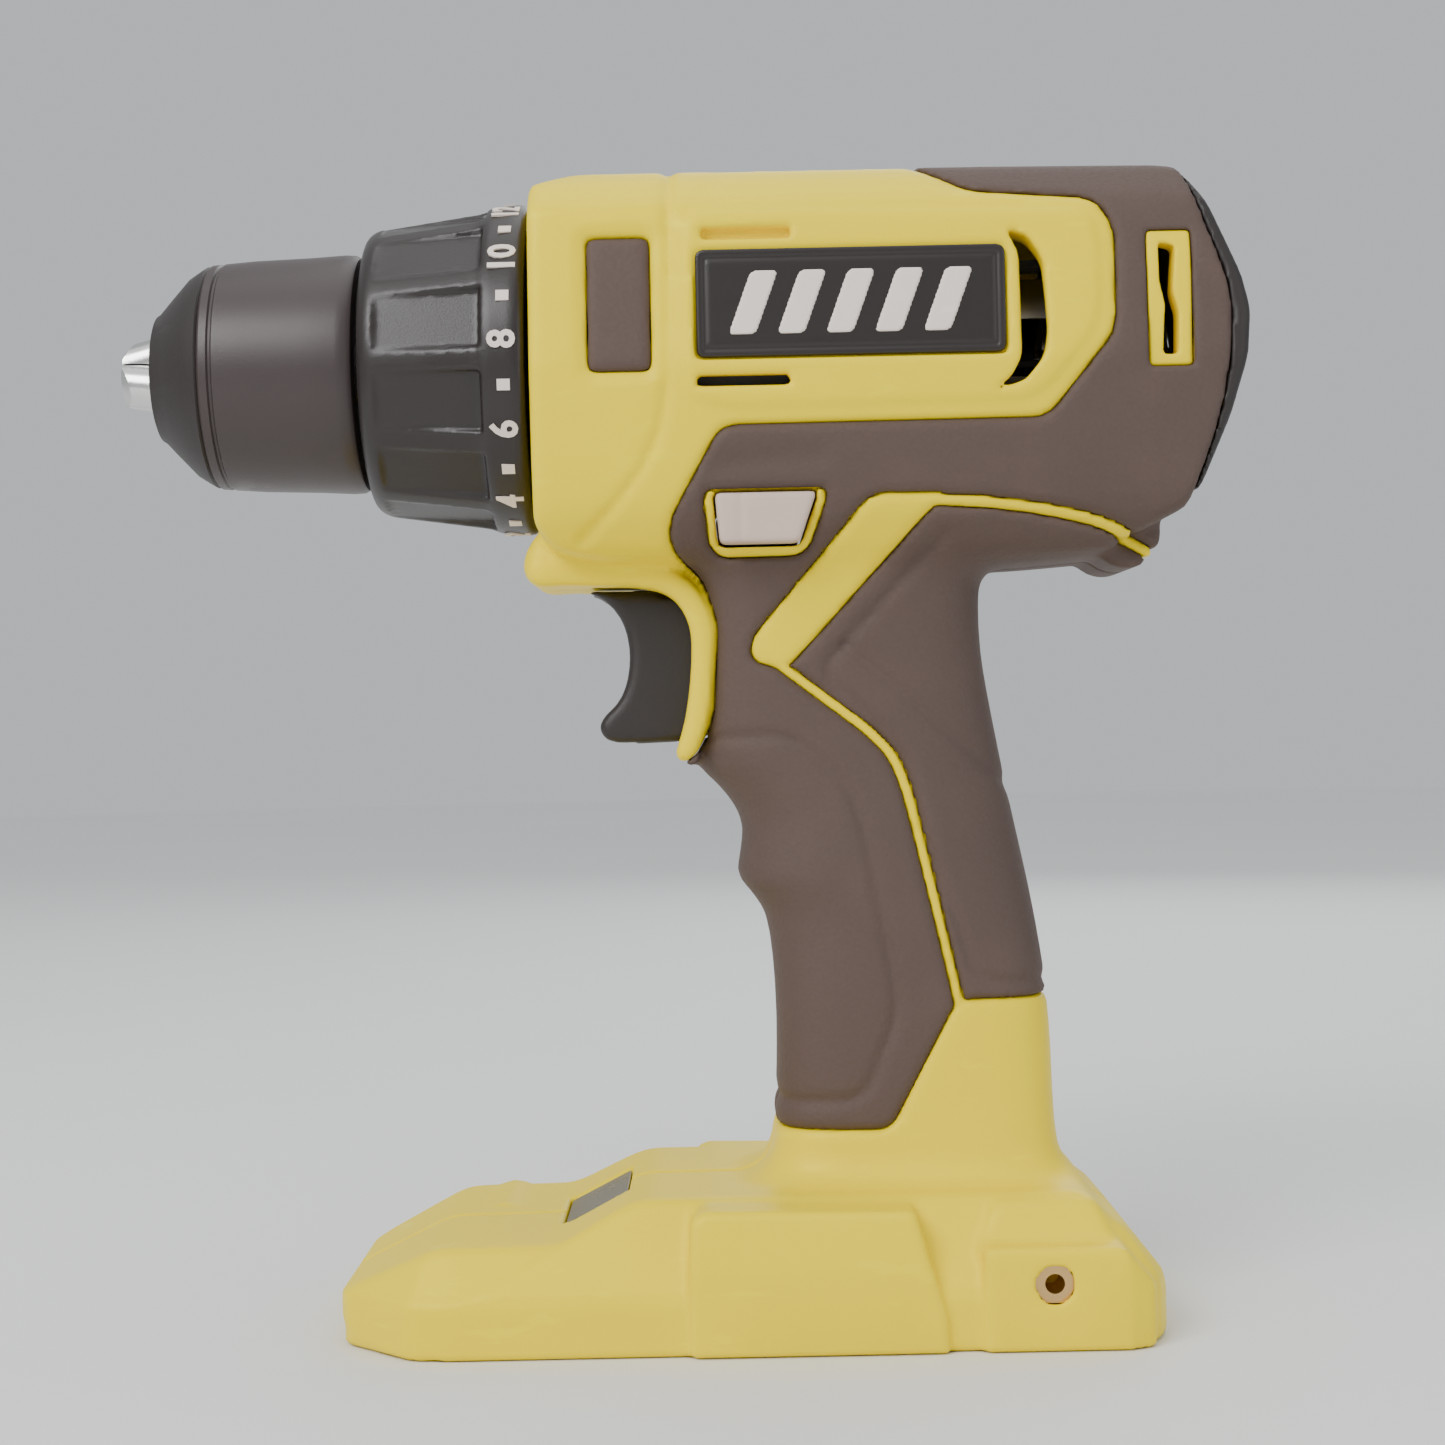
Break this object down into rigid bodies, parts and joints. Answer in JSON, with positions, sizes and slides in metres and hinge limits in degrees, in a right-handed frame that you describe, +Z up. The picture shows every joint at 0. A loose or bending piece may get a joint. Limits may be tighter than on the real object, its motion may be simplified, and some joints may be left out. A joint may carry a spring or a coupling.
{
  "type": "cordless drill",
  "caption": "Pistol-grip cordless drill with keyless chuck, torque collar, planetary gearbox, canned motor and slide-on battery foot.",
  "frame": {"origin": "middle of the whole drill's footprint box, on the surface that the foot stands on", "axes": "+Z up; the chuck points towards -X; seen from behind the drill, its left side is -Y and its right side is +Y"},
  "size_m": [0.197, 0.076, 0.2024],
  "materials": {
    "yellow_plastic": "fine moulded texture",
    "grey_overmould": "soft matte grain",
    "dark_plastic": "matte",
    "badge_black": "satin",
    "collar_plastic": "satin, white numerals",
    "sleeve_plastic": "satin",
    "beige_plastic": "matte",
    "clear_lens": "frosted",
    "board_green": "solder mask",
    "contact_brass": "satin",
    "steel": "ground",
    "hard_steel": "bright",
    "black_steel": "black oxide",
    "gear_steel": "sintered",
    "case_nylon": "glass-filled nylon",
    "magnet_ferrite": "ground ferrite",
    "copper_wire": "enamelled copper",
    "carbon": "carbon",
    "lead_pvc": "pvc"
  },
  "bodies": {
    "housing": {"left_shell": "yellow_plastic", "right_shell": "yellow_plastic", "left_overmould": "grey_overmould", "right_overmould": "grey_overmould", "left_badge_plate": "badge_black", "right_badge_plate": "badge_black", "left_vent_bezel": "yellow_plastic", "right_vent_bezel": "yellow_plastic", "rear_cap": "dark_plastic", "housing_screws": "black_steel", "accessory_inserts": "contact_brass", "led_lens": "clear_lens", "led_board": "board_green", "terminal_block": "dark_plastic", "battery_contacts": "contact_brass", "trigger_switch": "dark_plastic", "trigger_spring": "steel", "gearbox_case": "case_nylon", "clutch_nose": "case_nylon", "motor_plate": "steel", "clutch_ring_gear": "gear_steel", "spindle_bearings": "hard_steel", "snap_ring": "steel", "thrust_washer": "steel", "clutch_balls": "hard_steel", "clutch_spring": "steel", "motor_can": "steel", "magnets": "magnet_ferrite", "end_bell": "dark_plastic", "carbon_brushes": "carbon", "internal_leads": "lead_pvc"},
    "chuck": {"spindle": "steel", "chuck_body": "steel", "chuck_screw": "black_steel"},
    "sleeve": {"chuck_sleeve": "sleeve_plastic", "nose_ring": "dark_plastic", "jaw_nut": "gear_steel"},
    "jaw_a": {"jaw_a": "hard_steel"},
    "jaw_b": {"jaw_b": "hard_steel"},
    "jaw_c": {"jaw_c": "hard_steel"},
    "collar": {"clutch_collar": "collar_plastic"},
    "clutch_nut": {"clutch_nut": "case_nylon"},
    "carrier": {"carrier": "gear_steel"},
    "armature": {"motor_shaft": "hard_steel", "armature_core": "steel", "windings": "copper_wire", "commutator": "contact_brass", "motor_fan": "dark_plastic", "motor_pinion": "gear_steel"},
    "trigger": {"trigger": "dark_plastic"},
    "direction": {"direction_selector": "beige_plastic"},
    "speed": {"speed_selector": "yellow_plastic", "shift_yoke": "steel", "sliding_ring_gear": "gear_steel"},
    "planet_1a": {"planet_1a": "gear_steel"},
    "planet_1b": {"planet_1b": "gear_steel"},
    "planet_1c": {"planet_1c": "gear_steel"},
    "planet_2a": {"planet_2a": "gear_steel"},
    "planet_2b": {"planet_2b": "gear_steel"},
    "planet_2c": {"planet_2c": "gear_steel"}
  },
  "joints": [
    {"name": "chuck_spin", "type": "hinge", "parent": "housing", "child": "chuck", "pos_m": [-0.02407, 0, 0.169], "axis": [1, 0, 0], "continuous": true},
    {"name": "carrier_spin", "type": "hinge", "parent": "housing", "child": "carrier", "pos_m": [0.00863, 0, 0.169], "axis": [1, 0, 0], "continuous": true},
    {"name": "armature_spin", "type": "hinge", "parent": "housing", "child": "armature", "pos_m": [0.02647, 0, 0.169], "axis": [1, 0, 0], "continuous": true},
    {"name": "planet_2a_spin", "type": "hinge", "parent": "chuck", "child": "planet_2a", "pos_m": [0.00013, 0, 0.1582], "axis": [1, 0, 0], "continuous": true},
    {"name": "planet_2b_spin", "type": "hinge", "parent": "chuck", "child": "planet_2b", "pos_m": [0.00013, 0.00935, 0.1744], "axis": [1, 0, 0], "continuous": true},
    {"name": "planet_2c_spin", "type": "hinge", "parent": "chuck", "child": "planet_2c", "pos_m": [0.00013, -0.00935, 0.1744], "axis": [1, 0, 0], "continuous": true},
    {"name": "planet_1a_spin", "type": "hinge", "parent": "carrier", "child": "planet_1a", "pos_m": [0.01348, 0, 0.1582], "axis": [1, 0, 0], "continuous": true},
    {"name": "planet_1b_spin", "type": "hinge", "parent": "carrier", "child": "planet_1b", "pos_m": [0.01348, 0.00935, 0.1744], "axis": [1, 0, 0], "continuous": true},
    {"name": "planet_1c_spin", "type": "hinge", "parent": "carrier", "child": "planet_1c", "pos_m": [0.01348, -0.00935, 0.1744], "axis": [1, 0, 0], "continuous": true},
    {"name": "sleeve_turn", "type": "hinge", "parent": "chuck", "child": "sleeve", "pos_m": [-0.08207, 0, 0.169], "axis": [1, 0, 0], "range_deg": [0, 2812.5]},
    {"name": "jaw_a_slide", "type": "slide", "parent": "chuck", "child": "jaw_a", "axis": [0.9659, 0, 0.2588], "range_m": [0, 0.0125]},
    {"name": "jaw_b_slide", "type": "slide", "parent": "chuck", "child": "jaw_b", "axis": [0.9659, -0.2241, -0.1294], "range_m": [0, 0.0125]},
    {"name": "jaw_c_slide", "type": "slide", "parent": "chuck", "child": "jaw_c", "axis": [0.9659, 0.2241, -0.1294], "range_m": [0, 0.0125]},
    {"name": "collar_turn", "type": "hinge", "parent": "housing", "child": "collar", "pos_m": [-0.05407, 0, 0.169], "axis": [1, 0, 0], "range_deg": [-195, 150]},
    {"name": "clutch_nut_slide", "type": "slide", "parent": "housing", "child": "clutch_nut", "axis": [1, 0, 0], "range_m": [-0.00218, 0.00168], "deforming": ["clutch_spring"]},
    {"name": "trigger_pull", "type": "slide", "parent": "housing", "child": "trigger", "axis": [1, 0, 0], "range_m": [0, 0.006], "stiffness_N_per_m": 400, "springref_m": -0.004, "deforming": ["trigger_spring"]},
    {"name": "direction_slide", "type": "slide", "parent": "housing", "child": "direction", "axis": [0, 1, 0], "range_m": [-0.003, 0.003]},
    {"name": "speed_slide", "type": "slide", "parent": "housing", "child": "speed", "axis": [1, 0, 0], "range_m": [-0.005, 0]}
  ],
  "couplings": [
    {"joint": "carrier_spin", "follows": "chuck_spin", "ratio": 4.5},
    {"joint": "armature_spin", "follows": "chuck_spin", "ratio": 20.25},
    {"joint": "planet_2a_spin", "follows": "chuck_spin", "ratio": -2.8},
    {"joint": "planet_2b_spin", "follows": "chuck_spin", "ratio": -2.8},
    {"joint": "planet_2c_spin", "follows": "chuck_spin", "ratio": -2.8},
    {"joint": "planet_1a_spin", "follows": "chuck_spin", "ratio": -12.6},
    {"joint": "planet_1b_spin", "follows": "chuck_spin", "ratio": -12.6},
    {"joint": "planet_1c_spin", "follows": "chuck_spin", "ratio": -12.6},
    {"joint": "jaw_a_slide", "follows": "sleeve_turn", "m_per_rad": 0.00025465},
    {"joint": "jaw_b_slide", "follows": "sleeve_turn", "m_per_rad": 0.00025465},
    {"joint": "jaw_c_slide", "follows": "sleeve_turn", "m_per_rad": 0.00025465},
    {"joint": "clutch_nut_slide", "follows": "collar_turn", "m_per_rad": 0.00063662}
  ]
}
